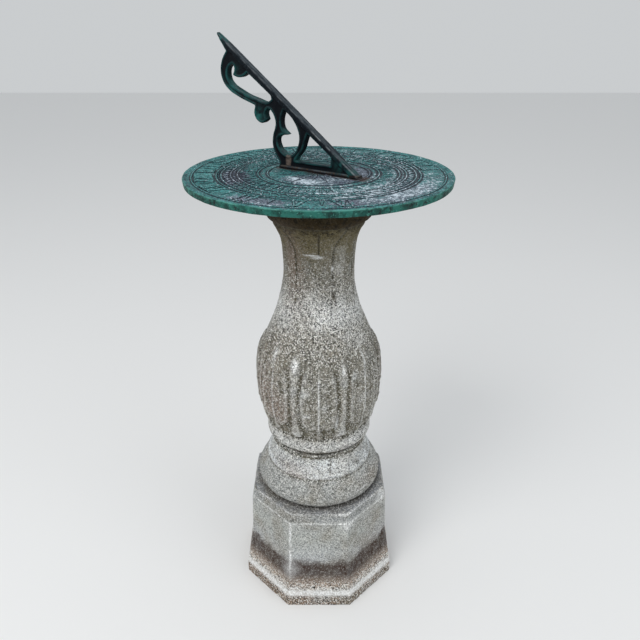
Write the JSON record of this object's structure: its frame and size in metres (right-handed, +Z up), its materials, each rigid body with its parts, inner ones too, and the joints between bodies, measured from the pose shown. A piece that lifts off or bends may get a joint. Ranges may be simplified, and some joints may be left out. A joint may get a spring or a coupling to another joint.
{
  "type": "garden sundial",
  "caption": "Bronze horizontal sundial with a pierced scrollwork gnomon, turning on a carved cast-stone baluster pedestal with an octagonal plinth.",
  "frame": {"origin": "on the ground under the middle of the pedestal", "axes": "+Z up along the pedestal and the dial's turning axis; the plinth's faces look along X, Y and the diagonals; -Y is the front"},
  "size_m": [0.3048, 0.3048, 0.7247],
  "materials": {
    "cast_stone": "weathered rough cast stone",
    "mortar": "dark weathered mortar",
    "verdigris_bronze": "green verdigris over dark bronze",
    "dark_bronze": "dark patinated bronze with green in the hollows",
    "bare_brass": "dull machined",
    "lead": "dull grey",
    "steel": "galvanised"
  },
  "bodies": {
    "pedestal": {"plinth_block": "cast_stone", "lower_mortar_bed": "mortar", "base_ring": "cast_stone", "upper_mortar_bed": "mortar", "baluster_shaft": "cast_stone", "core_rod": "steel", "core_grout": "mortar", "pivot_sleeve": "bare_brass", "sleeve_grout": "mortar", "bedding_washer": "lead"},
    "dial_head": {"dial_plate": "verdigris_bronze", "pivot_stud": "bare_brass", "gnomon": "dark_bronze", "gnomon_screws": "bare_brass"}
  },
  "joints": [
    {"name": "dial_turn", "type": "hinge", "parent": "pedestal", "child": "dial_head", "pos_m": [0, 0, 0.5752], "axis": [0, 0, 1], "continuous": true}
  ]
}
